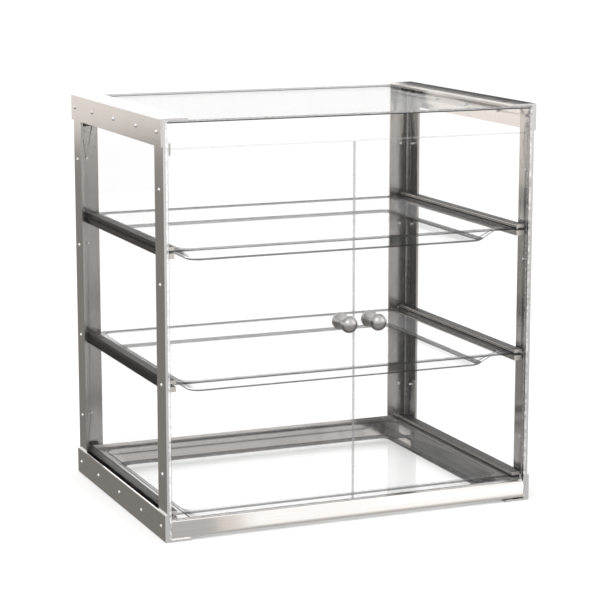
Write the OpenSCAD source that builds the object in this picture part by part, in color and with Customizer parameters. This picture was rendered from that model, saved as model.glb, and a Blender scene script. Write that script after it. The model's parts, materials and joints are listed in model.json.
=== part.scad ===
// Three-tier countertop bakery display case: a riveted stainless frame round a clear box,
// with two hinged front doors and three clear trays that slide on runners.
// Millimetres. +Z is up and -Y is the front. The origin is the centre of the overall
// footprint, knobs and rivet heads included, at the level of the counter.

/* [Case] */
// Width over the side plates
case_w = 484; // [390:1:600]
// Depth from the front edges of the posts to the backs of the rear posts
case_d = 350; // [290:1:440]
// Height from the counter to the top of the angles
case_h = 500; // [400:1:640]
// Number of trays, one above the other
tiers = 3; // [3:1:3]

/* [Steel angles and posts] */
// Height of the side plates, and width of their flanges
angle_w = 33; // [27:1:42]
// Thickness of the folded angles
angle_t = 2.5; // [2:0.1:3.5]
// Width of the posts
post_w = 31; // [25:1:40]
// Thickness of the posts
post_t = 3; // [2.2:0.1:4]
// How far the packing strips stop short of the edges of the side plates
packing_drop = 8; // [4:0.5:12]

/* [Aprons] */
// Height of the aprons' lower edges above the counter
apron_lift = 4.5; // [3.8:0.1:6]
// Height of the front apron
front_apron_h = 21.5; // [18:0.5:26]
// Height of the rear apron
rear_apron_h = 30.5; // [24:0.5:36]
// Thickness of the apron sheet
apron_t = 1.2; // [0.8:0.1:1.4]
// Depth of the return along the top of the front apron
apron_return = 9; // [7:0.5:12]
// Length of the end tabs that the side rivets pass through
tab_l = 26; // [22:0.5:34]
// Height of the end tabs above the base rivets
tab_margin = 4; // [3:0.5:6]

/* [Rivets] */
// Radius of a rivet's head
rivet_head_r = 2.7; // [2.2:0.1:3.4]
// Height of a rivet's head
rivet_head_h = 1.5; // [1:0.1:2]
// Radius of a rivet's shank
rivet_r = 1.6; // [1.2:0.1:1.9]

/* [Clear box] */
// Thickness of the side and back panels
panel_t = 2.5; // [2:0.1:3.5]
// Thickness of the top pane
pane_t = 3.5; // [3:0.1:5]
// Height of the fixed strip above the doors
transom_h = 29; // [22:0.5:36]
// Width of the stop behind the tops of the doors
stop_w = 60; // [40:1:80]
// Height of the stop
stop_h = 20; // [14:1:26]
// How far the stop hangs behind the doors
stop_lap = 8; // [5:0.5:10]

/* [Doors] */
// Thickness of the doors and of the strip above them
door_t = 5; // [4.4:0.1:6]
// Gap between the two doors
door_meeting_gap = 1.5; // [1:0.1:3]
// Gap between a door and the side panel
door_side_gap = 0.8; // [0.6:0.1:1.5]
// Gap above and below a door
door_end_gap = 1; // [0.8:0.1:1.5]
// Radius of the pivot pins
pin_r = 1; // [0.8:0.1:1.1]
// Depth of a pivot pin in its door
pin_grip = 7; // [5:0.5:10]
// How far the upper pins reach into the strip above
pin_reach = 6; // [4:0.5:8]
// Radius of the washers under the doors
pivot_washer_r = 2.3; // [2:0.1:2.4]

/* [Knobs] */
// Distance of each knob from the middle of the case
knob_x = 19; // [15:0.5:30]
// Radius of the knob's base
knob_base_r = 10.5; // [9:0.1:13]
// Thickness of the knob's base
knob_base_t = 2.4; // [1.6:0.1:4]
// Smallest radius of the knob's neck
knob_neck_r = 8; // [6.5:0.1:9]
// Radius of the knob's ball
knob_ball_r = 10.2; // [9.5:0.1:12]
// Distance from the door to the centre of the ball
knob_ball_out = 26.5; // [22:0.5:34]
// Radius of the knob's screw
screw_r = 2; // [1.5:0.1:2.5]
// Radius of the screw's head
screw_head_r = 3.8; // [3:0.1:4.4]
// Radius of the washer under the screw's head
screw_washer_r = 5; // [4.5:0.1:6]

/* [Runners] */
// Height of the lower rail, which carries the tray
rail_lower_h = 6.4; // [5:0.1:8]
// Height of the upper rail, which keeps the tray level as it is drawn out
rail_upper_h = 4.2; // [3:0.1:6]
// How far the rails reach over the rim of the tray
rail_grip = 4.2; // [3.5:0.1:7]

/* [Trays] */
// Thickness of the rim
rim_t = 2.6; // [2:0.1:3.2]
// Thickness of the walls and the floor
tray_t = 2.5; // [2:0.1:3]
// Depth from the top of the rim to the underside of the floor
tray_deep = 19; // [14:0.5:20]
// Width of the rim along the sides
rim_side_w = 16.5; // [13:0.5:22]
// Width of the rim along the front and the back
rim_end_w = 7; // [5:0.5:12]
// How far a wall leans in from the rim to the floor
wall_lean = 20; // [10:0.5:26]
// Radius of the corners at the rim
mouth_r = 19; // [12:0.5:26]
// Radius of the corners at the floor
floor_r = 13; // [8:0.5:20]
// Gap between a tray and the closed doors
tray_front_gap = 10.75; // [9:0.25:14]

/* [Hidden] */

$fn = 48;
e = 0.01;                    // overshoot that keeps cuts clean
fit_running = 0.06;          // radial clearance of a turning pin
fit_pressed = 0.02;          // radial clearance of a set rivet or a pressed pin
butt_gap = 0.3;              // gap between parts that meet end to end
seat_gap = 0.2;              // gap under a tray's rim, and behind a closed door
rim_clearance = 0.6;         // free height above a tray's rim between its rails
pass_gap = 0.7;              // gap between a tray and a fully open door
tray_rear_gap = 0.8;         // gap between a tray and the rear apron
tab_gap = 0.5;               // gap between an apron's end tab and the rail above it
front_rail_gap = 1.5;        // gap between a rail and the front apron
rear_rail_gap = 0.5;         // gap between a rail and the rear apron
pin_well = 2;                // depth of an upper pin's hole beyond the pin
pin_tail = 1.8;              // length of a lower pin below the apron's return
screw_head_h = 2.2;
screw_washer_t = 0.8;
screw_reach = 11;            // depth of the screw in the knob
screw_well = 2;              // depth of the knob's hole beyond the screw
stop_t = 3;
knob_edge = 0.8;             // step from the base's edge to the start of the neck

// Across the case, from the middle to one side
plate_x = case_w / 2;                          // outer face of the side plate
post_x = plate_x - angle_t;                    // outer face of the post
panel_x = post_x - post_t;                     // outer face of the side panel
back_rivet_x = post_x - post_w / 2;            // rivets of the back panel
inner_x = panel_x - panel_t;                   // inner face of the side panel
axis_x = inner_x - door_side_gap - door_t / 2; // axis of the door's pins
tray_x = axis_x - door_t / 2 - pass_gap;       // side edge of a tray
rail_x = tray_x - rail_grip;                   // inner face of a rail

// From front to back
knob_out = knob_ball_out + knob_ball_r;
middle_y = (knob_out - rivet_head_h) / 2;      // middle of the case without its knobs
front_y = middle_y - case_d / 2;
back_y = middle_y + case_d / 2;
panel_y = back_y - post_t;                     // back of the back panel
inner_y = panel_y - panel_t;                   // front of the back panel
axis_y = front_y + door_t / 2;
tray_front_y = front_y + door_t + tray_front_gap;
tray_back_y = inner_y - apron_t - tray_rear_gap;
rail_front_y = front_y + apron_return + front_rail_gap;
rail_back_y = inner_y - apron_t - rear_rail_gap;
post_mid_y = case_d / 2 - post_w / 2;          // middle of a post, from middle_y
plate_rivet_share = [-1, -0.54, 0, 0.54, 1];   // rivets along a side plate, of post_mid_y

// From the counter up
ceiling_z = case_h - angle_t;                  // underside of the top angles
pane_z = ceiling_z - pane_t;                   // underside of the top pane
transom_z = pane_z - transom_h;
apron_z = apron_lift + front_apron_h;          // top of the front apron
door_z = apron_z + door_end_gap;
door_h = transom_z - door_end_gap - door_z;
knob_z = case_h / 2;
base_rivet_z = angle_w / 2;
tab_z = base_rivet_z + tab_margin;
rail_z = tab_z + tab_gap;                      // underside of the lowest rails
tier_pitch = (pane_z - rail_z) / tiers;
slot_h = seat_gap + rim_t + rim_clearance;
post_rivet_share = [0.159, 0.374, 0.611, 0.833]; // rivets up a post, of case_h

// A block between two corners
module block(low, high) {
  translate(low) cube(high - low);
}

// Puts a part that is modelled on the right on either side
module on_side(side) {
  if (side == "left") mirror([1, 0, 0]) children();
  else children();
}

// Places children at each rivet along the side plates, at the given height
module along_plate(x, z) {
  for (share = plate_rivet_share) translate([x, middle_y + share * post_mid_y, z]) children();
}

// Places children at each rivet up a post
module up_post(x, y) {
  for (share = post_rivet_share) translate([x, y, share * case_h]) children();
}

// The hole for a rivet, along +X from the origin
module rivet_hole_x(length) {
  translate([-e, 0, 0]) rotate([0, 90, 0]) cylinder(r = rivet_r + fit_pressed, h = length + 2 * e);
}

// The hole for a rivet, along +Y from the origin
module rivet_hole_y(length) {
  translate([0, -e, 0]) rotate([-90, 0, 0]) cylinder(r = rivet_r + fit_pressed, h = length + 2 * e);
}

// A rivet with its domed head above z = 0 and its shank set flush at -grip
module rivet(grip) {
  dome_r = (rivet_head_r * rivet_head_r + rivet_head_h * rivet_head_h) / (2 * rivet_head_h);
  intersection() {
    translate([0, 0, rivet_head_h - dome_r]) sphere(r = dome_r);
    cylinder(r = rivet_head_r + 1, h = rivet_head_h + 1);
  }
  translate([0, 0, -grip]) cylinder(r = rivet_r, h = grip + rivet_head_h / 2);
}

module rivet_from_side(grip) {
  rotate([0, 90, 0]) rivet(grip);
}

// A folded angle: the side plate, and the flange that the clear box stands on or hangs under
module angle() {
  difference() {
    union() {
      block([post_x, front_y, 0], [plate_x, back_y, angle_w]);
      block([plate_x - angle_w, front_y, 0], [post_x + e, back_y, angle_t]);
    }
    along_plate(post_x, base_rivet_z) rivet_hole_x(angle_t);
  }
}

module base_angle(side) {
  color("silver") on_side(side) angle();
}

module top_angle(side) {
  color("silver") on_side(side) translate([0, 0, case_h]) mirror([0, 0, 1]) angle();
}

// The holes that a side rivet needs in a post or a side panel
module side_holes(x, length) {
  for (z = [base_rivet_z, case_h - base_rivet_z]) along_plate(x, z) rivet_hole_x(length);
  for (y = [-post_mid_y, post_mid_y]) up_post(x, middle_y + y) rivet_hole_x(length);
}

// A flat bar: the front is left clear for the trays
module front_post(side) {
  color("silver") on_side(side) difference() {
    block([panel_x, front_y, angle_t], [post_x, front_y + post_w, ceiling_z]);
    side_holes(panel_x, post_t);
  }
}

// An angle: its back flange carries the back panel
module rear_post(side) {
  color("silver") on_side(side) difference() {
    union() {
      block([panel_x, back_y - post_w, angle_t], [post_x, back_y, ceiling_z]);
      block([post_x - post_w, panel_y, angle_t], [panel_x + e, back_y, ceiling_z]);
    }
    side_holes(panel_x, post_t);
    up_post(back_rivet_x, panel_y) rivet_hole_y(post_t);
  }
}

// The bar that fills the thickness of the posts behind a side plate
module packing(side, low, high) {
  color("gray") on_side(side) difference() {
    block([panel_x, front_y + post_w + butt_gap, low], [post_x, back_y - post_w - butt_gap, high]);
    side_holes(panel_x, post_t);
  }
}

module packing_base(side) {
  packing(side, angle_t, angle_w - packing_drop);
}

module packing_top(side) {
  packing(side, case_h - angle_w + packing_drop, ceiling_z);
}

// The end tab of an apron, between two depths
module apron_tab(low_y, high_y, rivet_y) {
  for (side = ["left", "right"]) on_side(side) difference() {
    block([inner_x - apron_t, low_y, apron_lift], [inner_x, high_y, tab_z]);
    translate([inner_x - apron_t, rivet_y, base_rivet_z]) rivet_hole_x(apron_t);
  }
}

module front_apron() {
  color("silver") difference() {
    union() {
      block([-inner_x, front_y, apron_lift], [inner_x, front_y + apron_t, apron_z]);
      block([-inner_x, front_y, apron_z - apron_t], [inner_x, front_y + apron_return, apron_z]);
      apron_tab(front_y + apron_t - e, front_y + tab_l, middle_y - post_mid_y);
    }
    for (x = [-axis_x, axis_x]) {
      translate([x, axis_y, apron_z - apron_t - e]) cylinder(r = pin_r + fit_running, h = apron_t + 2 * e);
    }
  }
}

module rear_apron() {
  color("silver") {
    block([-inner_x, inner_y - apron_t, apron_lift], [inner_x, inner_y, apron_lift + rear_apron_h]);
    apron_tab(back_y - tab_l, inner_y - apron_t + e, middle_y + post_mid_y);
  }
}

module side_panel(side) {
  color("lightcyan", 0.3) on_side(side) difference() {
    block([inner_x, front_y, angle_t], [panel_x, panel_y, ceiling_z]);
    side_holes(inner_x, panel_t);
  }
}

module back_panel() {
  color("lightcyan", 0.3) difference() {
    block([-inner_x, inner_y, angle_t], [inner_x, panel_y, pane_z]);
    for (x = [-back_rivet_x, back_rivet_x]) up_post(x, inner_y) rivet_hole_y(panel_t);
  }
}

module top_pane() {
  color("lightcyan", 0.3) block([-inner_x, front_y, pane_z], [inner_x, panel_y, ceiling_z]);
}

// The fixed strip above the doors. The doors' upper pins turn in its lower edge.
module transom() {
  color("lightcyan", 0.3) difference() {
    block([-inner_x, front_y + seat_gap, transom_z], [inner_x, front_y + seat_gap + door_t, pane_z]);
    for (x = [-axis_x, axis_x]) {
      translate([x, axis_y, transom_z - e]) cylinder(r = pin_r + fit_running, h = pin_reach + pin_well + e);
    }
  }
}

// The strip that stops the doors from swinging in
module door_stop() {
  stop_y = front_y + seat_gap + door_t;
  stop_z = transom_z - stop_lap;
  color("lightcyan", 0.3)
    block([-stop_w / 2, stop_y, stop_z], [stop_w / 2, stop_y + stop_t, stop_z + stop_h]);
}

// A door, with its hinge edge rounded about the pins' axis
module door(side) {
  color("lightcyan", 0.3) on_side(side) difference() {
    union() {
      block([door_meeting_gap / 2, front_y, door_z], [axis_x, front_y + door_t, door_z + door_h]);
      translate([axis_x, axis_y, door_z]) cylinder(r = door_t / 2, h = door_h);
    }
    for (z = [door_z - e, door_z + door_h - pin_grip]) {
      translate([axis_x, axis_y, z]) cylinder(r = pin_r + fit_pressed, h = pin_grip + e);
    }
    translate([knob_x, front_y - e, knob_z]) rotate([-90, 0, 0])
      cylinder(r = screw_r + fit_pressed, h = door_t + 2 * e);
  }
}

module pivot_pin_upper(side) {
  color("dimgray") on_side(side) translate([axis_x, axis_y, door_z + door_h - pin_grip])
    cylinder(r = pin_r, h = pin_grip + door_end_gap + pin_reach);
}

module pivot_pin_lower(side) {
  length = pin_grip + door_end_gap + apron_t + pin_tail;
  color("dimgray") on_side(side) translate([axis_x, axis_y, door_z + pin_grip - length])
    cylinder(r = pin_r, h = length);
}

module pivot_washer(side) {
  color("white") on_side(side) translate([axis_x, axis_y, apron_z]) difference() {
    cylinder(r = pivot_washer_r, h = door_end_gap - seat_gap / 2);
    translate([0, 0, -e]) cylinder(r = pin_r + fit_running, h = door_end_gap);
  }
}

// The knob's outline, from the base over the neck and round the ball to the pole
function neck_point(t, top) = [
  knob_neck_r + (knob_base_r - knob_edge - knob_neck_r) * pow(1 - t, 2),
  knob_base_t + t * (top - knob_base_t)
];
function knob_outline(steps) =
  let (joint = asin(knob_neck_r / knob_ball_r), top = knob_ball_out - knob_ball_r * cos(joint))
  concat(
    [[0, 0], [knob_base_r, 0], [knob_base_r, knob_base_t - knob_edge / 2],
     [knob_base_r - knob_edge / 2, knob_base_t]],
    [for (i = [0:steps]) neck_point(i / steps, top)],
    [for (i = [1:steps * 2 - 1])
      let (a = joint + (180 - joint) * i / (steps * 2))
      [knob_ball_r * sin(a), knob_ball_out - knob_ball_r * cos(a)]],
    [[0, knob_out]]
  );

// A part whose axis is +Z, set on the door's front face and pointing forward
module at_knob(side, out) {
  on_side(side) translate([knob_x, front_y - out, knob_z]) rotate([90, 0, 0]) children();
}

module knob(side) {
  color("lightgray") at_knob(side, 0) difference() {
    rotate_extrude() polygon(knob_outline(10));
    translate([0, 0, -e]) cylinder(r = screw_r + fit_pressed, h = screw_reach + screw_well + e);
  }
}

module knob_screw(side) {
  head_out = -door_t - screw_washer_t;
  color("gray") {
    at_knob(side, head_out - screw_head_h) cylinder(r = screw_head_r, h = screw_head_h);
    at_knob(side, head_out - e) cylinder(r = screw_r, h = screw_reach - head_out + e);
  }
}

module knob_washer(side) {
  color("white") at_knob(side, -door_t - screw_washer_t) difference() {
    cylinder(r = screw_washer_r, h = screw_washer_t);
    translate([0, 0, -e]) cylinder(r = screw_r + fit_pressed, h = screw_washer_t + 2 * e);
  }
}

// One rail of a runner, standing low above the underside of the pair
module rail(side, tier, low, height) {
  z = rail_z + (tier - 1) * tier_pitch + low;
  color([0.1, 0.09, 0.09]) on_side(side)
    block([rail_x, rail_front_y, z], [inner_x, rail_back_y, z + height]);
}

module rail_lower(side, tier) {
  rail(side, tier, 0, rail_lower_h);
}

module rail_upper(side, tier) {
  rail(side, tier, rail_lower_h + slot_h, rail_upper_h);
}

// Four discs at the corners of a rounded rectangle that is inset from the tray's edges
module corner_discs(side_in, end_in, radius, z, thick) {
  for (x = [-tray_x + side_in + radius, tray_x - side_in - radius]) {
    for (y = [tray_front_y + end_in + radius, tray_back_y - end_in - radius]) {
      translate([x, y, z]) cylinder(r = radius, h = thick, $fn = 32);
    }
  }
}

// A tapered tub, from its mouth at the top down to its floor
module tub(grow, floor_z, top_z) {
  hull() {
    corner_discs(rim_side_w - grow, rim_end_w - grow, mouth_r + grow, top_z - e, e);
    corner_discs(rim_side_w + wall_lean - grow, rim_end_w + wall_lean - grow, floor_r + grow, floor_z, e);
  }
}

module tray(tier) {
  rim_z = rail_z + (tier - 1) * tier_pitch + rail_lower_h + seat_gap;
  bottom_z = rim_z + rim_t - tray_deep;
  color("lightcyan", 0.3) difference() {
    union() {
      block([-tray_x, tray_front_y, rim_z], [tray_x, tray_back_y, rim_z + rim_t]);
      tub(tray_t, bottom_z, rim_z + rim_t - e);
    }
    tub(0, bottom_z + tray_t, rim_z + rim_t + 2 * e);
  }
}

// The rivets of a base angle: those at the posts also pass through the aprons' tabs
module rivets_base(side) {
  color("gainsboro") on_side(side) for (share = plate_rivet_share) {
    grip = angle_t + post_t + panel_t + (abs(share) == 1 ? apron_t : 0);
    translate([plate_x, middle_y + share * post_mid_y, base_rivet_z]) rivet_from_side(grip);
  }
}

module rivets_top(side) {
  color("gainsboro") on_side(side)
    along_plate(plate_x, case_h - base_rivet_z) rivet_from_side(angle_t + post_t + panel_t);
}

module rivets_post(side, y) {
  color("gainsboro") on_side(side) up_post(post_x, middle_y + y) rivet_from_side(post_t + panel_t);
}

module rivets_back(side) {
  color("gainsboro") on_side(side) up_post(back_rivet_x, back_y) rotate([-90, 0, 0]) rivet(post_t + panel_t);
}

for (side = ["left", "right"]) {
  base_angle(side);
  top_angle(side);
  front_post(side);
  rear_post(side);
  packing_base(side);
  packing_top(side);
  side_panel(side);
  door(side);
  pivot_pin_upper(side);
  pivot_pin_lower(side);
  pivot_washer(side);
  knob(side);
  knob_screw(side);
  knob_washer(side);
  rivets_base(side);
  rivets_top(side);
  rivets_post(side, -post_mid_y);
  rivets_post(side, post_mid_y);
  rivets_back(side);
  for (tier = [1:tiers]) {
    rail_upper(side, tier);
    rail_lower(side, tier);
  }
}
for (tier = [1:tiers]) {
  tray(tier);
}
front_apron();
rear_apron();
back_panel();
top_pane();
transom();
door_stop();
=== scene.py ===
"""Looks of a three-tier countertop pastry case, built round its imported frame.

The rivets, pins and washers only get finishes. The metal sheets and clear panels also get
rounded edges, by modifiers. The trays, knobs, knob screws and runner rails are built as finer
pieces that stand for the plain ones. Lengths are in metres, +Z is up and -Y is the front.
"""

import json
import logging
import math
from dataclasses import dataclass
from enum import Enum
from typing import Any, Callable, Iterator, Sequence

import bpy
from mathutils import Matrix, Vector

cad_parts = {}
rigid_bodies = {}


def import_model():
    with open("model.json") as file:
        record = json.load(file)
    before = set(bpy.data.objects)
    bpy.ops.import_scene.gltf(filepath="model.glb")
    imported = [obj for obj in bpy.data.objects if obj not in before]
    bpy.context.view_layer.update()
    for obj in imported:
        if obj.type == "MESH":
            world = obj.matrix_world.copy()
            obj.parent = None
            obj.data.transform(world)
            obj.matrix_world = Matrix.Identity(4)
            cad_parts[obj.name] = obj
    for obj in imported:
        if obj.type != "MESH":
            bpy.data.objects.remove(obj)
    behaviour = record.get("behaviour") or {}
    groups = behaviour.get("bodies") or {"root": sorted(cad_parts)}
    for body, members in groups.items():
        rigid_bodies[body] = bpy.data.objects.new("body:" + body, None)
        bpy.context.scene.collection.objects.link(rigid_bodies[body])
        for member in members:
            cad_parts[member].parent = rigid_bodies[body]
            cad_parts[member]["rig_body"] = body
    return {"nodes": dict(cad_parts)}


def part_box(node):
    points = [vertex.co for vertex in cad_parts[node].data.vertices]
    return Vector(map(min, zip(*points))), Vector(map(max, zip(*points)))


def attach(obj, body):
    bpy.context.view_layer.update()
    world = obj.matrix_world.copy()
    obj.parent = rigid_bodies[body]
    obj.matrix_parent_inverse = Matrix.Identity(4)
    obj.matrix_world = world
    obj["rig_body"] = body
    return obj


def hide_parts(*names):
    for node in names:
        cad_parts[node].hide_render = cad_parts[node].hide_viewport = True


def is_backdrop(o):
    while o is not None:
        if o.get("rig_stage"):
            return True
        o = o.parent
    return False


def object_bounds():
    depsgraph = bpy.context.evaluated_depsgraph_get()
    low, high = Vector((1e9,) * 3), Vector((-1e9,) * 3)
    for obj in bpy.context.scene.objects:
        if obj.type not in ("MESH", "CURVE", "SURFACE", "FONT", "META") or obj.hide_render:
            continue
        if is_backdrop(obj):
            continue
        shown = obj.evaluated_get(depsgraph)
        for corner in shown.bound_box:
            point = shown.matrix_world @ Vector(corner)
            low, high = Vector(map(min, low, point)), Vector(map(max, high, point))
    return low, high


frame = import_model()
CAD_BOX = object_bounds()

MM = 0.001
TIERS = 3
WELD_GAP = 0.001 * MM
ON_PLANE = 0.01 * MM
FACING = 0.9
FLAT_DEG = 0.4
CREASE_DEG = 32
EDGE_DEG = 40
FOLD_STEPS = 6
EASE_STEPS = 2
# Where a colour Mix node keeps its two colours and its result.
MIX_LOW, MIX_HIGH, MIX_RESULT = 6, 7, 2
log = logging.getLogger("pastry_case")


class Axis(Enum):
    """An axis of the case's frame."""

    X = 0
    Y = 1
    Z = 2

    def split(self, along: float, across: float) -> tuple[float, float, float]:
        """Three numbers: `along` on this axis and `across` on the other two."""
        return tuple(along if i == self.value else across for i in range(3))


class Side(Enum):
    """The two mirrored halves of the case."""

    LEFT = -1
    RIGHT = 1

    @property
    def word(self) -> str:
        """The ending that a node's name has on this side."""
        return self.name.lower()


# ---- shader graphs


class Field:
    """One socket of a shader graph, used in expressions as a number."""

    def __init__(self, graph: "Graph", socket: bpy.types.NodeSocket) -> None:
        """Keeps the graph and the socket that the expression ends in."""
        self.graph = graph
        self.socket = socket

    def _math(self, operation: str, *terms: "Field | float") -> "Field":
        """Adds one Math node.

        Args:
            operation: the node's operation.
            terms: its inputs, in order.

        Returns:
            The node's result.
        """
        return self.graph.field("ShaderNodeMath", {"operation": operation}, dict(enumerate(terms)))

    def __add__(self, other: "Field | float") -> "Field":
        """self + other."""
        return self._math("ADD", self, other)

    def __radd__(self, other: float) -> "Field":
        """other + self."""
        return self._math("ADD", other, self)

    def __sub__(self, other: "Field | float") -> "Field":
        """self - other."""
        return self._math("SUBTRACT", self, other)

    def __rsub__(self, other: float) -> "Field":
        """other - self."""
        return self._math("SUBTRACT", other, self)

    def __mul__(self, other: "Field | float") -> "Field":
        """self * other."""
        return self._math("MULTIPLY", self, other)

    def __rmul__(self, other: float) -> "Field":
        """other * self."""
        return self._math("MULTIPLY", other, self)

    def __pow__(self, other: float) -> "Field":
        """self to the power of other."""
        return self._math("POWER", self, other)

    def rise(self, low: float, high: float) -> "Field":
        """A smooth step.

        Args:
            low: where it leaves 0.
            high: where it reaches 1; below `low` for a falling step.

        Returns:
            The step, from 0 to 1.
        """
        sockets = {"Value": self, "From Min": low, "From Max": high}
        return self.graph.field("ShaderNodeMapRange", {"interpolation_type": "SMOOTHSTEP"}, sockets)


class Graph:
    """A material's or a world's node tree, written as Python expressions."""

    def __init__(self, owner: bpy.types.Material | bpy.types.World) -> None:
        """Empties the owner's node tree."""
        owner.use_nodes = True
        self.owner = owner
        self.tree = owner.node_tree
        self.tree.nodes.clear()

    def node(
        self,
        kind: str,
        settings: dict[str, Any] | None = None,
        sockets: dict[str | int, Any] | None = None,
    ) -> bpy.types.Node:
        """Adds a node.

        Args:
            kind: the node's type.
            settings: its properties, set first.
            sockets: values or links of its inputs, by name or place.

        Returns:
            The node.
        """
        made = self.tree.nodes.new(kind)
        for name, value in (settings or {}).items():
            setattr(made, name, value)
        for key, value in (sockets or {}).items():
            if isinstance(value, Field):
                self.tree.links.new(value.socket, made.inputs[key])
            else:
                made.inputs[key].default_value = value
        return made

    def field(
        self,
        kind: str,
        settings: dict[str, Any] | None = None,
        sockets: dict[str | int, Any] | None = None,
        output: str | int = 0,
    ) -> Field:
        """Adds a node and gives one of its outputs.

        Args:
            kind: the node's type.
            settings: its properties, set first.
            sockets: values or links of its inputs, by name or place.
            output: the output's name or place.

        Returns:
            The output.
        """
        return Field(self, self.node(kind, settings, sockets).outputs[output])

    def place(self) -> Field:
        """The point on the piece, in metres, which stays with the piece as it moves."""
        return self.field("ShaderNodeTexCoord", output="Object")

    def scaled(self, vector: Field, by: Sequence[float]) -> Field:
        """A vector times three numbers."""
        return self.field("ShaderNodeVectorMath", {"operation": "MULTIPLY"}, {0: vector, 1: by})

    def noise(self, vector: Field, scale: float, detail: float = 2.0) -> Field:
        """Smooth noise from 0 to 1.

        Args:
            vector: where it is read.
            scale: blotches per unit of the vector.
            detail: how many finer layers it has.

        Returns:
            The noise.
        """
        return self.field("ShaderNodeTexNoise", None, {"Vector": vector, "Scale": scale, "Detail": detail})

    def blend(self, factor: Field, low: Sequence[float], high: Sequence[float]) -> Field:
        """A colour between two colours or colour fields."""
        sockets = {0: factor, MIX_LOW: low, MIX_HIGH: high}
        return self.field("ShaderNodeMix", {"data_type": "RGBA"}, sockets, MIX_RESULT)

    def bump(self, height: Field, depth: float, strength: float) -> Field:
        """A normal from a height.

        Args:
            height: the relief, from 0 to 1.
            depth: how deep it is, in metres.
            strength: how much of it shows.

        Returns:
            The normal.
        """
        sockets = {"Height": height, "Distance": depth, "Strength": strength}
        return self.field("ShaderNodeBump", None, sockets)

    def turned_away(self) -> Field:
        """0 where a surface faces the eye and 1 where it is edge on, alike on both its faces."""
        return self.field("ShaderNodeLayerWeight", None, {"Blend": 0.5}, "Facing")

    def gloss_factor(self, head_on: float, grazing: float) -> Field:
        """How much a clear surface mirrors, from head on to edge on."""
        return head_on + (grazing - head_on) * self.turned_away() ** 5

    def mixed(self, factor: Field | float, first: Field, second: Field) -> Field:
        """Two shaders mixed."""
        return self.field("ShaderNodeMixShader", None, {0: factor, 1: first, 2: second})

    def surface(self, shader: Field) -> bpy.types.Material:
        """Ends the graph in a shader.

        Args:
            shader: what the surface shows.

        Returns:
            The graph's owner.
        """
        kind = "Material" if isinstance(self.owner, bpy.types.Material) else "World"
        self.node("ShaderNodeOutput" + kind, None, {"Surface": shader})
        return self.owner


def grey(value: float, warmth: float = 0.0) -> tuple[float, float, float, float]:
    """A grey as linear RGBA.

    Args:
        value: how light it is.
        warmth: share by which red rises and blue falls.

    Returns:
        Red, green, blue and full opacity.
    """
    return (value * (1 + warmth), value, value * (1 - warmth), 1.0)


# ---- finishes


@dataclass(frozen=True)
class BrushedSteel:
    """Stainless sheet with fine scratches along one axis, and faint handling marks."""

    name: str
    grain: Axis
    shade: float = 0.62
    warmth: float = 0.03
    roughness: float = 0.11
    lines: float = 2400.0
    line_stretch: float = 0.006
    line_depth: float = 0.02 * MM

    def build(self) -> bpy.types.Material:
        """Makes the material.

        Returns:
            The material.
        """
        graph = Graph(bpy.data.materials.new(self.name))
        place = graph.place()
        scratches = self.grain.split(self.lines * self.line_stretch, self.lines)
        fine = graph.noise(graph.scaled(place, scratches), 1.0, 3.0)
        broad = graph.noise(graph.scaled(place, self.grain.split(4.0, 700.0)), 1.0, 2.0)
        marks = graph.noise(place, 26.0, 4.0).rise(0.42, 0.72)
        streak = 0.6 * fine + 0.4 * broad
        dark, light = grey(self.shade * 0.86, self.warmth), grey(self.shade * 1.12, self.warmth)
        sockets = {
            "Base Color": graph.blend(streak, dark, light),
            "Metallic": 1.0,
            "Roughness": self.roughness - 0.03 + 0.07 * streak + 0.02 * marks,
            "Normal": graph.bump(fine, self.line_depth, 0.3),
        }
        return graph.surface(graph.field("ShaderNodeBsdfPrincipled", None, sockets))


@dataclass(frozen=True)
class TurnedMetal:
    """Metal that was turned on a lathe, with hair-fine rings round one axis."""

    name: str
    spindle: Axis
    shade: float
    roughness: float
    warmth: float = 0.01
    rings: float = 5200.0

    def build(self) -> bpy.types.Material:
        """Makes the material.

        Returns:
            The material.
        """
        graph = Graph(bpy.data.materials.new(self.name))
        place = graph.place()
        ring = graph.noise(graph.scaled(place, self.spindle.split(self.rings, 60.0)), 1.0, 2.0)
        haze = graph.noise(place, 160.0, 3.0)
        dark, light = grey(self.shade * 0.90, self.warmth), grey(self.shade * 1.06, self.warmth)
        sockets = {
            "Base Color": graph.blend(ring, dark, light),
            "Metallic": 1.0,
            "Roughness": self.roughness - 0.04 + 0.06 * ring + 0.05 * haze,
            "Normal": graph.bump(ring, 0.01 * MM, 0.2),
        }
        return graph.surface(graph.field("ShaderNodeBsdfPrincipled", None, sockets))


@dataclass(frozen=True)
class PressedRivet:
    """Bright rivet heads, with the faint dimples that the setting tool leaves."""

    name: str
    shade: float = 0.66
    roughness: float = 0.1

    def build(self) -> bpy.types.Material:
        """Makes the material.

        Returns:
            The material.
        """
        graph = Graph(bpy.data.materials.new(self.name))
        place = graph.place()
        dimples = graph.noise(place, 700.0, 3.0)
        tarnish = graph.noise(place, 60.0, 3.0).rise(0.4, 0.7)
        sockets = {
            "Base Color": graph.blend(tarnish, grey(self.shade, 0.01), grey(self.shade * 0.8, 0.02)),
            "Metallic": 1.0,
            "Roughness": self.roughness + 0.08 * dimples,
            "Normal": graph.bump(dimples, 0.05 * MM, 0.25),
        }
        return graph.surface(graph.field("ShaderNodeBsdfPrincipled", None, sockets))


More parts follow.
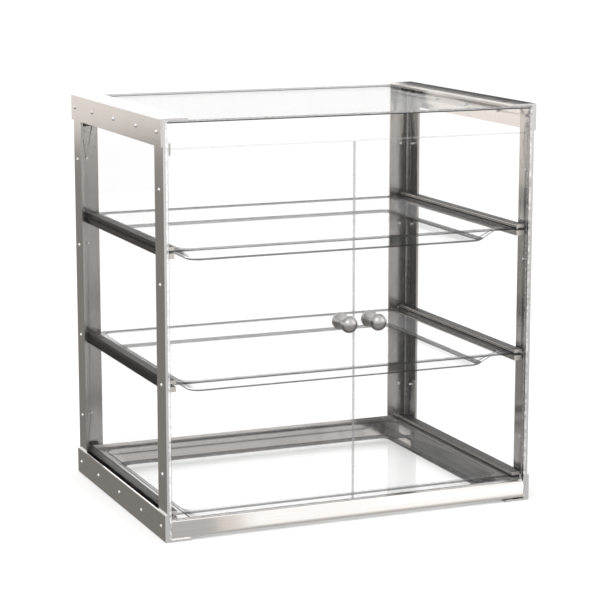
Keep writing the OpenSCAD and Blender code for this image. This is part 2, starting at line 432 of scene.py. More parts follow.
@dataclass(frozen=True)
class ClearSheet:
    """The broad face of a clear sheet: it tints what lies behind, mirrors, and carries a little haze."""

    name: str
    tint: float = 0.995
    gloss: float = 0.014
    grazing: float = 0.24
    haze: float = 0.003

    def build(self) -> bpy.types.Material:
        """Makes the material.

        Returns:
            The material.
        """
        graph = Graph(bpy.data.materials.new(self.name))
        wiped = graph.noise(graph.scaled(graph.place(), (6.0, 6.0, 16.0)), 1.0, 4.0).rise(0.35, 0.75)
        through = graph.field("ShaderNodeBsdfTransparent", None, {"Color": grey(self.tint)})
        film = graph.field("ShaderNodeBsdfDiffuse", None, {"Color": grey(0.85)})
        mirror = graph.field("ShaderNodeBsdfGlossy", None, {"Color": grey(1.0), "Roughness": 0.03})
        hazed = graph.mixed(self.haze * (0.4 + 0.6 * wiped), through, film)
        return graph.surface(graph.mixed(graph.gloss_factor(self.gloss, self.grazing), hazed, mirror))


@dataclass(frozen=True)
class SheetEdge:
    """The narrow face of a clear sheet: darker, streaked by the polishing wheel.

    Its lower arris can carry a painted shade line, near black, whose top the last field gives.
    """

    name: str
    tint: float
    body: float
    solid: float
    arris_z: float | None = None

    def build(self) -> bpy.types.Material:
        """Makes the material.

        Returns:
            The material.
        """
        graph = Graph(bpy.data.materials.new(self.name))
        place = graph.place()
        streak = graph.noise(place, 240.0, 3.0).rise(0.3, 0.7)
        through = graph.field("ShaderNodeBsdfTransparent", None, {"Color": grey(self.tint)})
        colour = graph.blend(streak, grey(self.body * 0.8), grey(self.body * 1.2))
        solid = self.solid + 0.24 * streak - 0.12
        if self.arris_z is not None:
            height = Field(graph, graph.node("ShaderNodeSeparateXYZ", None, {0: place}).outputs[2])
            # Painted shade: a near-black band along the edge's lower arris, standing in for the dark line
            # that the clear edge shows there.
            arris = height.rise(self.arris_z, self.arris_z - 0.7 * MM)
            colour = graph.blend(arris, colour, grey(0.02, 0.1))
            solid = solid + (0.95 - solid) * arris
        sockets = {"Base Color": colour, "Roughness": 0.12 + 0.1 * streak}
        core = graph.field("ShaderNodeBsdfPrincipled", None, sockets)
        return graph.surface(graph.mixed(solid, through, core))


@dataclass(frozen=True)
class MouldedClear:
    """Clear moulded plastic, which darkens toward a dark tint as its surface turns away from the eye."""

    name: str
    turned: tuple[float, float]
    tint: float = 0.992
    thick: float = 0.12
    gloss: float = 0.02
    grazing: float = 0.30
    haze: float = 0.008

    def build(self) -> bpy.types.Material:
        """Makes the material.

        Returns:
            The material.
        """
        graph = Graph(bpy.data.materials.new(self.name))
        scuffs = graph.noise(graph.scaled(graph.place(), (40.0, 8.0, 40.0)), 1.0, 4.0).rise(0.45, 0.8)
        through = graph.field("ShaderNodeBsdfTransparent", None, {"Color": grey(self.tint)})
        dark = graph.field("ShaderNodeBsdfTransparent", None, {"Color": grey(self.thick)})
        film = graph.field("ShaderNodeBsdfDiffuse", None, {"Color": grey(0.8)})
        mirror = graph.field("ShaderNodeBsdfGlossy", None, {"Color": grey(1.0), "Roughness": 0.05})
        shell = graph.mixed(graph.turned_away().rise(*self.turned), through, dark)
        worn = graph.mixed(self.haze * (0.5 + scuffs), shell, film)
        return graph.surface(graph.mixed(graph.gloss_factor(self.gloss, self.grazing), worn, mirror))


@dataclass(frozen=True)
class Extruded:
    """A satin extrusion with the lengthwise lines of its die and a little dust."""

    name: str
    shade: float
    metallic: float
    roughness: float
    specular: float = 0.5

    def build(self) -> bpy.types.Material:
        """Makes the material.

        Returns:
            The material.
        """
        graph = Graph(bpy.data.materials.new(self.name))
        place = graph.place()
        die = graph.noise(graph.scaled(place, Axis.Y.split(5.0, 1500.0)), 1.0, 2.0)
        dust = graph.noise(place, 90.0, 4.0).rise(0.5, 0.8)
        clean = graph.blend(die, grey(self.shade * 0.7, 0.05), grey(self.shade * 1.25, 0.05))
        sockets = {
            "Base Color": graph.blend(0.25 * dust, clean, grey(self.shade * 1.8, 0.05)),
            "Metallic": self.metallic,
            "Roughness": self.roughness + 0.12 * die + 0.06 * dust,
            "Specular IOR Level": self.specular,
            "Normal": graph.bump(die, 0.05 * MM, 0.35),
        }
        return graph.surface(graph.field("ShaderNodeBsdfPrincipled", None, sockets))


@dataclass(frozen=True)
class NaturalNylon:
    """Off-white nylon with a fine moulded grain."""

    name: str

    def build(self) -> bpy.types.Material:
        """Makes the material.

        Returns:
            The material.
        """
        graph = Graph(bpy.data.materials.new(self.name))
        grain = graph.noise(graph.place(), 1400.0, 3.0)
        sockets = {
            "Base Color": graph.blend(grain, (0.74, 0.73, 0.69, 1.0), (0.84, 0.83, 0.79, 1.0)),
            "Roughness": 0.42 + 0.12 * grain,
            "Normal": graph.bump(grain, 0.04 * MM, 0.3),
        }
        return graph.surface(graph.field("ShaderNodeBsdfPrincipled", None, sockets))


@dataclass(frozen=True)
class PaleFloor:
    """A plain matt floor."""

    name: str
    shade: float = 0.90

    def build(self) -> bpy.types.Material:
        """Makes the material.

        Returns:
            The material.
        """
        graph = Graph(bpy.data.materials.new(self.name))
        return graph.surface(graph.field("ShaderNodeBsdfDiffuse", None, {"Color": grey(self.shade)}))


@dataclass(frozen=True)
class BlackFlag:
    """The dark cloth of a studio flag, which thins out toward its front and rear ends."""

    name: str
    front: float
    rear: float
    fade: float = 0.11
    shade: float = 0.03

    def build(self) -> bpy.types.Material:
        """Makes the material.

        Returns:
            The material.
        """
        graph = Graph(bpy.data.materials.new(self.name))
        y = Field(graph, graph.node("ShaderNodeSeparateXYZ", None, {0: graph.place()}).outputs["Y"])
        cloth = y.rise(self.front, self.front + self.fade) * y.rise(self.rear, self.rear - self.fade)
        black = graph.field("ShaderNodeBsdfDiffuse", None, {"Color": grey(self.shade)})
        clear = graph.field("ShaderNodeBsdfTransparent", None, {"Color": grey(1.0)})
        return graph.surface(graph.mixed(cloth, clear, black))


# ---- mesh building


def node_box(name: str) -> tuple[Vector, Vector]:
    """Lowest and highest corner of a CAD node."""
    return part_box(name)


def turn_corner(before: Vector, corner: Vector, after: Vector, radius: float, steps: int) -> list[Vector]:
    """Rounds one corner of an outline with an arc.

    Args:
        before: the outline's point before the corner.
        corner: the sharp corner.
        after: the point after it.
        radius: the arc's radius.
        steps: how many segments the arc has.

    Returns:
        The arc's points, from the side of `before` to the side of `after`.
    """
    into, out = (corner - before).normalized(), (after - corner).normalized()
    turn = math.atan2(into.x * out.y - into.y * out.x, into.dot(out))
    start = corner - into * radius * math.tan(abs(turn) / 2)
    centre = start + Vector((-into.y, into.x)) * math.copysign(radius, turn)
    spokes = (Matrix.Rotation(turn * i / steps, 2) @ (start - centre) for i in range(steps + 1))
    return [centre + spoke for spoke in spokes]


def loft(
    name: str,
    rings: Sequence[Sequence[Vector]],
    finishes: Sequence[bpy.types.Material],
    paint: Callable[[int, int], int] = lambda ring, point: 0,
) -> bpy.types.Object:
    """Skins a row of closed rings and closes both ends.

    Args:
        name: the piece's name.
        rings: rings of equally many points, each turning the same way.
        finishes: the piece's materials; the ends take the first.
        paint: which of them a face takes, from the numbers of its first ring and point.

    Returns:
        The piece, smooth, with its flat faces kept flat.
    """
    count = len(rings[0])
    points = [point for ring in rings for point in ring]
    faces: list[list[int]] = [list(range(count))[::-1]]
    painted = [0]
    for ring in range(len(rings) - 1):
        for i in range(count):
            low, j = ring * count, (i + 1) % count
            faces.append([low + i, low + j, low + count + j, low + count + i])
            painted.append(paint(ring, i))
    faces.append([len(points) - count + i for i in range(count)])
    painted.append(0)
    mesh = bpy.data.meshes.new(name)
    mesh.from_pydata(points, [], faces)
    for finish in finishes:
        mesh.materials.append(finish)
    mesh.polygons.foreach_set("material_index", painted)
    mesh.shade_smooth()
    mesh.set_sharp_from_angle(angle=math.radians(CREASE_DEG))
    piece = bpy.data.objects.new(name, mesh)
    bpy.context.scene.collection.objects.link(piece)
    piece.modifiers.new("even_normals", "WEIGHTED_NORMAL").keep_sharp = True
    return piece


def stand_in(piece: bpy.types.Object, node: str) -> bpy.types.Object:
    """Lets a piece stand for a CAD node, on that node's body.

    Args:
        piece: the finer piece.
        node: the plain node.

    Returns:
        The piece.
    """
    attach(piece, frame["nodes"][node]["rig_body"])
    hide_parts(node)
    return piece


def dress(node: str, *finishes: bpy.types.Material) -> bpy.types.Object:
    """Gives a CAD node its finishes.

    Args:
        node: the node's name.
        finishes: its materials, the main one first.

    Returns:
        The node's object.
    """
    piece = frame["nodes"][node]
    piece.data.materials.clear()
    for finish in finishes:
        piece.data.materials.append(finish)
    return piece


def let_light_through(piece: bpy.types.Object) -> bpy.types.Object:
    """Keeps a clear piece from shading what stands behind or under it.

    Args:
        piece: the clear piece.

    Returns:
        The piece.
    """
    piece.visible_shadow = piece.visible_diffuse = False
    return piece


def mark_faces(piece: bpy.types.Object, *chosen: Callable[[Vector], bool]) -> None:
    """Gives faces the piece's second and further finishes, and the first to all others.

    Args:
        piece: a CAD node's object.
        chosen: for each finish after the first, whether a face with this normal takes it.
    """
    for face in piece.data.polygons:
        takes = [i + 1 for i, wanted in enumerate(chosen) if wanted(face.normal)]
        face.material_index = takes[0] if takes else 0


def ease_edges(
    piece: bpy.types.Object, width: float, bend: float = 0.0, at: Sequence[int] = (0, 0, 0)
) -> None:
    """Rounds a sheet's edges, and its folded corner more, by modifiers alone.

    Args:
        piece: a CAD node's object.
        width: how wide the rounding is.
        bend: radius of the folded corner, or 0 for a flat sheet.
        at: which two sides of the box the fold lies on: -1 low, 1 high, 0 neither.
    """
    mesh = piece.data
    if "custom_normal" in mesh.attributes:
        mesh.attributes.remove(mesh.attributes["custom_normal"])
    mesh.shade_smooth()
    piece.modifiers.new("join_faces", "WELD").merge_threshold = WELD_GAP
    joined = piece.modifiers.new("flat_faces_joined", "DECIMATE")
    joined.decimate_type, joined.angle_limit = "DISSOLVE", math.radians(FLAT_DEG)
    if bend:
        low, high = node_box(piece.name)
        corner = [(i, (low, high)[side > 0][i]) for i, side in enumerate(at) if side]
        weights = mesh.attributes.new("bevel_weight_edge", "FLOAT", "EDGE")
        for edge in mesh.edges:
            ends = [mesh.vertices[i].co for i in edge.vertices]
            on_fold = all(abs(end[i] - value) < ON_PLANE for end in ends for i, value in corner)
            weights.data[edge.index].value = float(on_fold)
        fold = piece.modifiers.new("fold", "BEVEL")
        fold.limit_method, fold.width, fold.segments = "WEIGHT", bend, FOLD_STEPS
        fold.use_clamp_overlap = False
    eased = piece.modifiers.new("eased_edges", "BEVEL")
    eased.limit_method, eased.angle_limit = "ANGLE", math.radians(EDGE_DEG)
    eased.width, eased.segments, eased.harden_normals = width, EASE_STEPS, True
    flats = piece.modifiers.new("flat_faces", "WEIGHTED_NORMAL")
    flats.mode, flats.weight, flats.keep_sharp = "FACE_AREA", 100, False


# ---- the case


@dataclass
class SheetFrame:
    """The riveted steel frame: side angles, posts, packing strips and aprons."""

    fold_radius: float = 1.6 * MM
    eased: float = 0.28 * MM

    def build(self) -> Iterator[bpy.types.Object]:
        """Dresses every sheet of the frame.

        Returns:
            The pieces, one by one.
        """
        along = BrushedSteel("steel_brushed_along", Axis.Y).build()
        upright = BrushedSteel("steel_brushed_upright", Axis.Z).build()
        across = BrushedSteel("steel_brushed_across", Axis.X).build()
        cut = BrushedSteel(
            "steel_sheared", Axis.Z, shade=0.70, roughness=0.26, warmth=0.0, lines=900.0
        ).build()
        mill = BrushedSteel("steel_mill", Axis.Y, shade=0.42, roughness=0.42, lines=700.0).build()
        # A lighter copy of the same brushed steel for the faces that look into the case: painted light, not
        # a different metal.
        inner = BrushedSteel("steel_inner", Axis.Z, shade=0.95, roughness=0.2, lines=1200.0).build()
        # A darker copy of the same brushed steel for the rear posts' front and rear faces: painted shade,
        # not a different metal.
        flange = BrushedSteel("steel_flange", Axis.Z, shade=0.41, roughness=0.2, lines=1200.0).build()
        for side in Side:
            yield self.sheet("base_angle_" + side.word, along, cut, (side.value, 0, -1))
            yield self.sheet("top_angle_" + side.word, along, cut, (side.value, 0, 1), side, inner)
            yield self.sheet("front_post_" + side.word, upright, cut, (0, 0, 0))
            yield self.sheet("rear_post_" + side.word, upright, flange, (side.value, 1, 0), side, inner)
            yield self.sheet("packing_base_" + side.word, mill, cut, (0, 0, 0))
            yield self.sheet("packing_top_" + side.word, mill, cut, (0, 0, 0), side, inner)
        yield self.sheet("front_apron", across, across, (0, -1, 1))
        yield self.sheet("rear_apron", across, across, (0, 0, 0))

    def sheet(
        self,
        node: str,
        face: bpy.types.Material,
        cut: bpy.types.Material,
        fold: tuple[int, int, int],
        side: Side = Side.LEFT,
        inner: bpy.types.Material | None = None,
    ) -> bpy.types.Object:
        """Dresses one sheet.

        Args:
            node: its name.
            face: the finish of its faces.
            cut: the finish of its front and rear faces; on the rear posts a darker copy of the steel,
                painted shade.
            fold: the sides of its box that the fold lies on.
            side: which side of the case it is on.
            inner: the finish of the faces that look into the case, if they have their own; a lighter copy
                of the steel, painted light.

        Returns:
            The sheet.
        """
        piece = dress(node, face, cut, inner or face)
        mark_faces(
            piece,
            lambda normal: abs(normal.y) > FACING,
            lambda normal: normal.x * side.value < -FACING,
        )
        ease_edges(piece, self.eased, self.fold_radius if any(fold) else 0.0, fold)
        return piece


@dataclass
class ClearBox:
    """The clear panels that the frame holds, the strip above the doors, and the doors' stop."""

    eased: float = 0.3 * MM
    # Height, above the top pane's underside, of the top of the painted shade line on its edge.
    arris: float = 1.7 * MM

    def build(self) -> Iterator[bpy.types.Object]:
        """Dresses every clear sheet.

        Returns:
            The pieces, one by one.
        """
        face = ClearSheet("clear_face").build()
        pane = ClearSheet("clear_pane", tint=0.87).build()
        pale = SheetEdge("clear_edge_pale", tint=0.92, body=0.80, solid=0.5).build()
        thin = SheetEdge("clear_edge_thin", tint=0.78, body=0.4, solid=0.4).build()
        arris_z = node_box("top_pane")[0].z + self.arris
        dark = SheetEdge("clear_edge_dark", tint=0.6, body=0.36, solid=0.7, arris_z=arris_z).build()
        for side in Side:
            yield self.panel("side_panel_" + side.word, Axis.X, face, pale)
            yield self.panel("door_" + side.word, Axis.Y, face, thin)
        yield self.panel("back_panel", Axis.Y, face, pale)
        yield self.panel("transom", Axis.Y, face, thin)
        yield self.panel("door_stop", Axis.Y, face, face)
        yield self.panel("top_pane", Axis.Z, pane, dark)

    def panel(
        self, node: str, thin: Axis, face: bpy.types.Material, edge: bpy.types.Material
    ) -> bpy.types.Object:
        """Dresses one panel.

        Args:
            node: its name.
            thin: the axis across its thickness.
            face: the finish of its broad faces.
            edge: the finish of its narrow faces and holes.

        Returns:
            The panel.
        """
        piece = dress(node, face, edge)
        mark_faces(piece, lambda normal: abs(normal[thin.value]) < 0.5)
        ease_edges(piece, self.eased)
        return let_light_through(piece)


@dataclass
class Fittings:
    """The small turned parts that keep their shapes: rivets, door pins and washers."""

    def build(self) -> Iterator[bpy.types.Object]:
        """Dresses the fittings.

        Returns:
            The pieces, one by one.
        """
        rivet = PressedRivet("rivet_bright").build()
        pin = TurnedMetal("pin_turned", Axis.Z, 0.55, 0.3).build()
        nylon = NaturalNylon("nylon_natural").build()
        for side in Side:
            for place in ("base", "top", "front_post", "rear_post", "back"):
                yield dress(f"rivets_{place}_{side.word}", rivet)
            for place in ("upper", "lower"):
                yield dress(f"pivot_pin_{place}_{side.word}", pin)
            for place in ("pivot", "knob"):
                yield dress(f"{place}_washer_{side.word}", nylon)


@dataclass
class Knobs:
    """The doors' pull knobs: a flange, a waisted neck and a ball, and the screw that holds each."""

    ball_radius: float = 10.2 * MM
    neck_radius: float = 8.0 * MM
    flange_height: float = 2.4 * MM
    flange_edge: float = 0.8 * MM
    bore_radius: float = 2.02 * MM
    bore_depth: float = 13.0 * MM
    recess_radius: float = 1.35 * MM
    recess_depth: float = 1.3 * MM
    head_height: float = 2.2 * MM
    head_swell: float = 1.1 * MM
    tip_bevel: float = 0.4 * MM
    shank_play: float = 0.02 * MM
    foot_bevel: float = 0.25 * MM
    pole_radius: float = 0.02 * MM
    spokes: int = 96
    round_steps: int = 6
    neck_steps: int = 16
    ball_steps: int = 40

    def build(self) -> Iterator[bpy.types.Object]:
        """Builds both knobs and both screws.

        Returns:
            The pieces, one by one.
        """
        satin = TurnedMetal("knob_satin", Axis.Y, 0.36, 0.27).build()
        steel = TurnedMetal("screw_turned", Axis.Y, 0.58, 0.28).build()
        for side in Side:
            yield self.knob(side, satin)
            yield self.screw(side, steel)

    def ring(self, centre: Vector, radius: float, out: float, flats: int = 0) -> list[Vector]:
        """One ring round the knob's axis.

        Args:
            centre: where the axis meets the door's front face.
            radius: its radius, or half the width across its flats.
            out: how far it lies in front of the door.
            flats: how many flats it has, or 0 for a circle.

        Returns:
            The ring's points.
        """
        points = []
        for i in range(self.spokes):
            angle = 2 * math.pi * i / self.spokes
            reach = radius
            if flats:
                half = math.pi / flats
                reach = radius / math.cos(angle % (2 * half) - half)
            points.append(centre + Vector((reach * math.cos(angle), -out, reach * math.sin(angle))))
        return points

    def knob(self, side: Side, finish: bpy.types.Material) -> bpy.types.Object:
        """Builds one knob.

        Args:
            side: which door it is on.
            finish: its material.

        Returns:
            The knob.
        """
        node = "knob_" + side.word
        low, high = node_box(node)
        centre = Vector(((low.x + high.x) / 2, high.y, (low.z + high.z) / 2))
        flange, reach = (high.x - low.x) / 2, high.y - low.y
        ball_out = reach - self.ball_radius
        joint = math.asin(self.neck_radius / self.ball_radius)
        neck_top = ball_out - self.ball_radius * math.cos(joint)
        foot = flange - self.flange_edge
        outline = [(self.pole_radius, self.bore_depth), (self.bore_radius, self.bore_depth)]
        outline += [(self.bore_radius, 0.0), (flange - self.foot_bevel, 0.0), (flange, self.foot_bevel)]
        for i in range(self.round_steps + 1):
            angle = math.pi / 2 * i / self.round_steps
            rim_x = flange - self.flange_edge * (1 - math.cos(angle))
            outline.append((rim_x, self.flange_height - self.flange_edge * (1 - math.sin(angle))))
        for i in range(1, self.neck_steps + 1):
            share = i / self.neck_steps
            radius = self.neck_radius + (foot - self.neck_radius) * (1 - share) ** 2
            outline.append((radius, self.flange_height + share * (neck_top - self.flange_height)))
        for i in range(1, self.ball_steps):
            angle = joint + (math.pi - joint) * i / self.ball_steps
            radius = self.ball_radius * math.sin(angle)
            outline.append((radius, ball_out - self.ball_radius * math.cos(angle)))
        outline.append((self.pole_radius, reach))
        rings = [self.ring(centre, radius, out) for radius, out in outline]
        return stand_in(loft("pull_" + node, rings, [finish]), node)

    def screw(self, side: Side, finish: bpy.types.Material) -> bpy.types.Object:
        """Builds one knob's screw, with a rounded head and a hexagonal recess.

        Args:
            side: which door it is on.
            finish: its material.

        Returns:
            The screw.
        """
        node = "knob_screw_" + side.word
        low, high = node_box(node)
        face_y = node_box("door_" + side.word)[0].y
        centre = Vector(((low.x + high.x) / 2, face_y, (low.z + high.z) / 2))
        head, back, tip = (high.x - low.x) / 2, face_y - high.y, face_y - low.y
        seat = back + self.head_height
        shank = self.bore_radius - self.shank_play
        rings = [
            self.ring(centre, self.recess_radius, back + self.recess_depth, flats=6),
            self.ring(centre, self.recess_radius, back, flats=6),
        ]
        for i in range(self.round_steps + 1):
            angle = math.pi / 2 * i / self.round_steps
            radius = head - self.head_swell * (1 - math.sin(angle))
            rings.append(self.ring(centre, radius, back + self.head_swell * (1 - math.cos(angle))))
        rings += [self.ring(centre, head, seat), self.ring(centre, shank, seat)]
        rings.append(self.ring(centre, shank, tip - self.tip_bevel))
        rings.append(self.ring(centre, shank - self.tip_bevel, tip))
        return stand_in(loft("pan_head_" + node, rings, [finish]), node)


@dataclass
class Trays:
    """The moulded clear trays: a flat rim, sloped walls and a flat floor, with rounded corners."""

    rim_side: float = 16.5 * MM
    rim_end: float = 7.0 * MM
    rim_thick: float = 2.6 * MM
    wall_thick: float = 2.5 * MM
    wall_lean: float = 20.0 * MM
    mouth_corner: float = 19.0 * MM
    floor_corner: float = 13.0 * MM
    outer_corner: float = 4.5 * MM
    edge_round: float = 0.9 * MM
    mouth_fillet: float = 3.0 * MM
    floor_fillet: float = 6.0 * MM
    # Share of the wall, above the floor fillet, that the bends' painted shade also covers, to widen its
    # dark line.
    heel: float = 0.09
    past_rim: float = -9.0 * MM
    past_wall: float = 40.0 * MM
    corner_steps: int = 14
    floor_steps: int = 8
    mouth_steps: int = 6
    edge_steps: int = 4

    def build(self) -> Iterator[bpy.types.Object]:
        """Builds the trays.

        Returns:
            The pieces, one by one.
        """
        flat = MouldedClear("tray_flat", turned=(0.90, 1.0)).build()
        wall = MouldedClear("tray_wall", turned=(0.62, 0.98), thick=0.28).build()
        # Painted shade: the bends and the rim's outer edge stay dark at nearly every angle, drawing the
        # dark contour lines that the clear plastic shows there.
        bend = MouldedClear("tray_bend", turned=(-1.2, 1.0), thick=0.10).build()
        for tier in range(1, TIERS + 1):
            yield self.tray(f"tray_{tier}", [flat, wall, bend])

    def ring(self, box: tuple[Vector, Vector], inset: float, z: float) -> list[Vector]:
        """One rounded rectangle.

        Args:
            box: the tray's corners.
            inset: how far inside the mouth it lies; below 0 it lies on the rim.
            z: its height.

        Returns:
            The ring's points.
        """
        corner = self.mouth_corner + (self.floor_corner - self.mouth_corner) * inset / self.wall_lean
        return self.rectangle(box, self.rim_side + inset, self.rim_end + inset, corner, z)

    def rectangle(
        self, box: tuple[Vector, Vector], side: float, end: float, corner: float, z: float
    ) -> list[Vector]:
        """A rounded rectangle inset from a box.

        Args:
            box: the box's corners.
            side: how far it lies inside the box's sides.
            end: how far it lies inside its ends.
            corner: radius of its corners.
            z: its height.

        Returns:
            Its points, all round.
        """
        low, high = box
        points = []
        for quarter in range(4):
            right, rear = quarter in (0, 3), quarter in (0, 1)
            x = high.x - side - corner if right else low.x + side + corner
            y = high.y - end - corner if rear else low.y + end + corner
            for i in range(self.corner_steps + 1):
                angle = math.pi / 2 * (quarter + i / self.corner_steps)
                points.append(Vector((x + corner * math.cos(angle), y + corner * math.sin(angle), z)))
        return points

    def tray(self, node: str, finishes: Sequence[bpy.types.Material]) -> bpy.types.Object:
        """Builds one tray.

        Args:
            node: the plain tray's name.
            finishes: the materials of its flats, its walls, and its bends and outer edge; the last is
                painted shade, dark lines along the bends and edge.

        Returns:
            The tray.
        """
        box = node_box(node)
        floor, top = box[0].z, box[1].z
        rim_under = top - self.rim_thick
        lean = self.wall_lean / (top - floor)
        deep_x = self.wall_lean - self.wall_thick
        meet_x = deep_x - (rim_under - floor) * lean
        inside = [
            Vector((self.past_rim, top)),
            Vector((0.0, top)),
            Vector((self.wall_lean, floor + self.wall_thick)),
            Vector((self.past_wall, floor + self.wall_thick)),
        ]
        under = [
            Vector((self.past_wall, floor)),
            Vector((deep_x, floor)),
            Vector((meet_x, rim_under)),
            Vector((self.past_rim, rim_under)),
        ]
        floor_turn = turn_corner(*under[0:3], self.floor_fillet + self.wall_thick, self.floor_steps)
        mouth_turn = turn_corner(*under[1:4], self.mouth_fillet, self.mouth_steps)
        heel = floor_turn[-1].lerp(mouth_turn[0], self.heel)
        wall_out = [*floor_turn, heel, *mouth_turn]
        wall_in = turn_corner(*inside[0:3], self.mouth_fillet, self.mouth_steps)
        wall_in += turn_corner(*inside[1:4], self.floor_fillet, self.floor_steps)
        edge = self.rim_edge(box, rim_under, top)
        rings = [self.ring(box, x, z) for x, z in wall_out]
        rings += edge
        rings += [self.ring(box, x, z) for x, z in wall_in]
        bands = self.bands(len(edge))
        piece = loft("moulded_" + node, rings, finishes, lambda ring, point: bands[ring])
        return let_light_through(stand_in(piece, node))

    def bands(self, edge_rings: int) -> list[int]:
        """Which finish each band between two rings takes.

        Args:
            edge_rings: how many rings go round the rim's outer edge.

        Returns:
            The finishes' numbers, from the middle of the underside to the middle of the floor.
        """
        # bend marks the bands painted with dark lines of shade.
        flat, wall, bend = range(3)
        bands = [flat] + [bend] * self.floor_steps + [wall] + [flat] * self.mouth_steps + [wall]
        bands += [bend] * (edge_rings - 1) + [wall]
        bands += [flat] + [bend] * (self.mouth_steps - 2) + [flat, wall]
        return bands + [flat] * self.floor_steps

    def rim_edge(self, box: tuple[Vector, Vector], under: float, top: float) -> list[list[Vector]]:
        """The rings round the rim's outer edge.

        Args:
            box: the tray's corners.
            under: height of the rim's underside.
            top: height of its top.

        Returns:
            The rings, from the underside to the top.
        """
        rings = []
        for centre_z, start in ((under + self.edge_round, -math.pi / 2), (top - self.edge_round, 0.0)):
            for i in range(self.edge_steps + 1):
                angle = start + math.pi / 2 * i / self.edge_steps
                inset = self.edge_round * (1 - math.cos(angle))
                z = centre_z + self.edge_round * math.sin(angle)
                rings.append(self.rectangle(box, inset, inset, self.outer_corner - inset, z))
        return rings


@dataclass
class Runners:
    """The runners: a lower and an upper rail on each side of each tray."""

    groove_depth: float = 0.55 * MM
    groove_half: float = 0.4 * MM
    corner: float = 0.5 * MM
    spacing: float = 2.1 * MM
    corner_cut: float = 0.3
    groove_floor: float = 0.4

    def build(self) -> Iterator[bpy.types.Object]:
        """Builds the rails.

        Returns:
            The pieces, one by one.
        """
        satin = Extruded("runner_satin", 0.62, 1.0, 0.24).build()
        black = Extruded("runner_black", 0.006, 0.0, 0.42, specular=0.2).build()
        for tier in range(1, TIERS + 1):
            for side in Side:
                for level in ("lower", "upper"):
                    yield self.rail(f"rail_{level}_{side.word}_{tier}", side, [satin, black])

    def rail(self, node: str, side: Side, finishes: Sequence[bpy.types.Material]) -> bpy.types.Object:
        """Builds one rail: a black strip, faced on its inner side with grooved satin lands.

        Args:
            node: the plain rail's name.
            side: which side of the case it is on.
            finishes: the materials of the lands and of the rest.

        Returns:
            The rail.
        """
        low, high = node_box(node)
        inner, outer = (low.x, high.x) if side is Side.RIGHT else (high.x, low.x)
        reach = side.value
        height = high.z - low.z
        grooves = max(1, round(height / self.spacing) - 1)
        cut = self.corner_cut * self.corner
        outline = [(outer, low.z), (outer, high.z), (inner + reach * self.corner, high.z)]
        outline.append((inner + reach * cut, high.z - cut))
        outline.append((inner, high.z - self.corner))
        for i in range(grooves):
            z = high.z - height * (i + 1) / (grooves + 1)
            outline.append((inner, z + self.groove_half))
            outline.append((inner + reach * self.groove_depth, z + self.groove_floor * self.groove_half))
            outline.append((inner + reach * self.groove_depth, z - self.groove_floor * self.groove_half))
            outline.append((inner, z - self.groove_half))
        outline.append((inner, low.z + self.corner))
        outline.append((inner + reach * cut, low.z + cut))
        outline.append((inner + reach * self.corner, low.z))
        if side is Side.LEFT:
            outline.reverse()
        rings = [[Vector((x, y, z)) for x, z in outline] for y in (high.y, low.y)]

        def land_or_rest(ring: int, point: int) -> int:
            """0 for a land of the inner face, 1 for any other face."""
            ends = (outline[point], outline[(point + 1) % len(outline)])
            return int(any(abs(x - inner) > ON_PLANE for x, z in ends))

        piece = loft("grooved_" + node, rings, finishes, land_or_rest)
        return stand_in(piece, node)


# ---- the studio


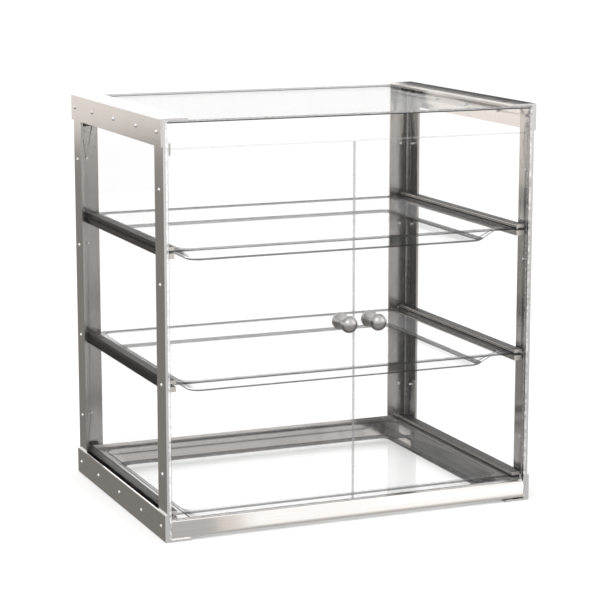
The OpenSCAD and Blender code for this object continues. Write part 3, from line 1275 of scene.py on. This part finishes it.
@dataclass
class Studio:
    """A plain pale floor, a pale surround, a dark flag, two soft lights and the camera."""

    aim: tuple[float, float, float] = (0.0023, 0.0166, 0.2434)
    distance: float = 2.712
    heading_deg: float = 22.754
    pitch_deg: float = 10.585
    lens_mm: float = 127.9
    sensor_mm: float = 36.0
    clip: tuple[float, float] = (0.05, 200.0)
    floor_size: float = 120.0
    floor_gap: float = 0.05 * MM
    lit_point: tuple[float, float, float] = (0.0, 0.0, 0.25)
    white: float = 1.2
    sky: float = 1.55
    horizon: tuple[float, float, float, float] = (1.05, 0.99, 0.94, 1.0)
    behind: tuple[float, float, float, float] = (0.275, 0.262, 0.248, 1.0)
    before: float = 0.68
    flag_gap: float = 0.055
    flag_height: float = 0.021
    flag_span: tuple[float, float] = (-0.15, 0.42)

    def build(self) -> None:
        """Sets up the whole studio."""
        bpy.context.scene.view_settings.view_transform = "Standard"
        self.floor()
        self.surround()
        self.flag()
        self.soft_box("key_light", (-1.6, -1.5, 2.3), 1.5, 16.0)
        self.soft_box("fill_light", (1.9, -1.7, 1.7), 1.6, 8.0)
        self.camera()

    def floor(self) -> None:
        """Lays the floor just under the case's feet."""
        half = self.floor_size / 2
        turns = ((-half, -half), (half, -half), (half, half), (-half, half))
        corners = [Vector((x, y, 0.0)) for x, y in turns]
        floor = self.card("floor", corners, PaleFloor("floor_pale").build())
        floor.location.z = -self.floor_gap
        floor.visible_glossy = False

    @staticmethod
    def card(name: str, corners: Sequence[Vector], finish: bpy.types.Material) -> bpy.types.Object:
        """Adds a flat four-cornered piece of the studio.

        Args:
            name: its name.
            corners: its corners, in turn.
            finish: its material.

        Returns:
            The piece.
        """
        mesh = bpy.data.meshes.new(name)
        mesh.from_pydata(corners, [], [(0, 1, 2, 3)])
        mesh.materials.append(finish)
        card = bpy.data.objects.new(name, mesh)
        bpy.context.scene.collection.objects.link(card)
        card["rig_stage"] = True
        return card

    def surround(self) -> None:
        """Makes the white surround, which reflections see fade to grey below the horizon."""
        world = bpy.data.worlds.new("studio")
        bpy.context.scene.world = world
        graph = Graph(world)
        toward = graph.node("ShaderNodeSeparateXYZ", None, {0: graph.field("ShaderNodeTexCoord", output=0)})
        x, y, z = (Field(graph, toward.outputs[i]) for i in range(3))
        front = (y + 0.25 * x).rise(0.25, -0.35)
        dark = graph.blend(front, self.behind, grey(self.before, 0.01))
        left = x.rise(-0.30, -0.46)
        sharp, soft = z.rise(-0.116, -0.100), z.rise(-0.160, -0.100)
        low = graph.blend(sharp + (soft - sharp) * left, dark, self.horizon)
        seen = graph.blend(z.rise(-0.05, 0.06), low, grey(self.sky))
        glossy = graph.field("ShaderNodeLightPath", output="Is Glossy Ray")
        colour = graph.blend(glossy, grey(self.white), seen)
        graph.surface(graph.field("ShaderNodeBackground", None, {"Color": colour, "Strength": 1.0}))

    def flag(self) -> None:
        """Stands a low dark flag beside the top of the case, which only reflections see."""
        high = node_box("top_angle_right")[1]
        x = high.x + self.flag_gap
        front, rear = self.flag_span
        span = ((front, 0.0), (rear, 0.0), (rear, self.flag_height), (front, self.flag_height))
        corners = [Vector((x, y, high.z + z)) for y, z in span]
        flag = self.card("flag", corners, BlackFlag("flag_black", front, rear).build())
        for sight in ("camera", "diffuse", "transmission", "volume_scatter", "shadow"):
            setattr(flag, "visible_" + sight, False)

    def soft_box(self, name: str, place: tuple[float, float, float], size: float, watts: float) -> None:
        """Hangs one square soft light that faces the case.

        Args:
            name: its name.
            place: where it hangs.
            size: length of its sides.
            watts: its power.
        """
        light = bpy.data.lights.new(name, "AREA")
        light.shape, light.size, light.energy = "SQUARE", size, watts
        lamp = bpy.data.objects.new(name, light)
        lamp.location = place
        toward = Vector(self.lit_point) - Vector(place)
        lamp.rotation_euler = toward.to_track_quat("-Z", "Y").to_euler()
        bpy.context.scene.collection.objects.link(lamp)

    def camera(self) -> None:
        """Stands the camera in front and to the left, a little above the case."""
        heading, pitch = math.radians(self.heading_deg), math.radians(self.pitch_deg)
        level = math.cos(pitch)
        ahead = Vector((math.sin(heading) * level, math.cos(heading) * level, -math.sin(pitch)))
        data = bpy.data.cameras.new("camera")
        data.lens, data.sensor_width = self.lens_mm, self.sensor_mm
        data.clip_start, data.clip_end = self.clip
        camera = bpy.data.objects.new("camera", data)
        camera.location = Vector(self.aim) - ahead * self.distance
        camera.rotation_euler = (math.pi / 2 - pitch, 0.0, -heading)
        bpy.context.scene.collection.objects.link(camera)
        bpy.context.scene.camera = camera


def write_sizes() -> None:
    """Gathers the CAD model's box and the visual model's box; nothing is written."""
    boxes = {"cad": CAD_BOX, "visual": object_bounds()}
    {name: [list(corner) for corner in box] for name, box in boxes.items()}


def main() -> None:
    """Builds the studio and every sub-assembly, and reports each piece."""
    logging.basicConfig(level=logging.INFO, format="%(name)s: %(message)s")
    Studio().build()
    for assembly in (SheetFrame(), ClearBox(), Fittings(), Knobs(), Trays(), Runners()):
        for piece in assembly.build():
            log.info("%s: %s", type(assembly).__name__, piece.name)
    write_sizes()


if __name__ == "__main__":
    main()
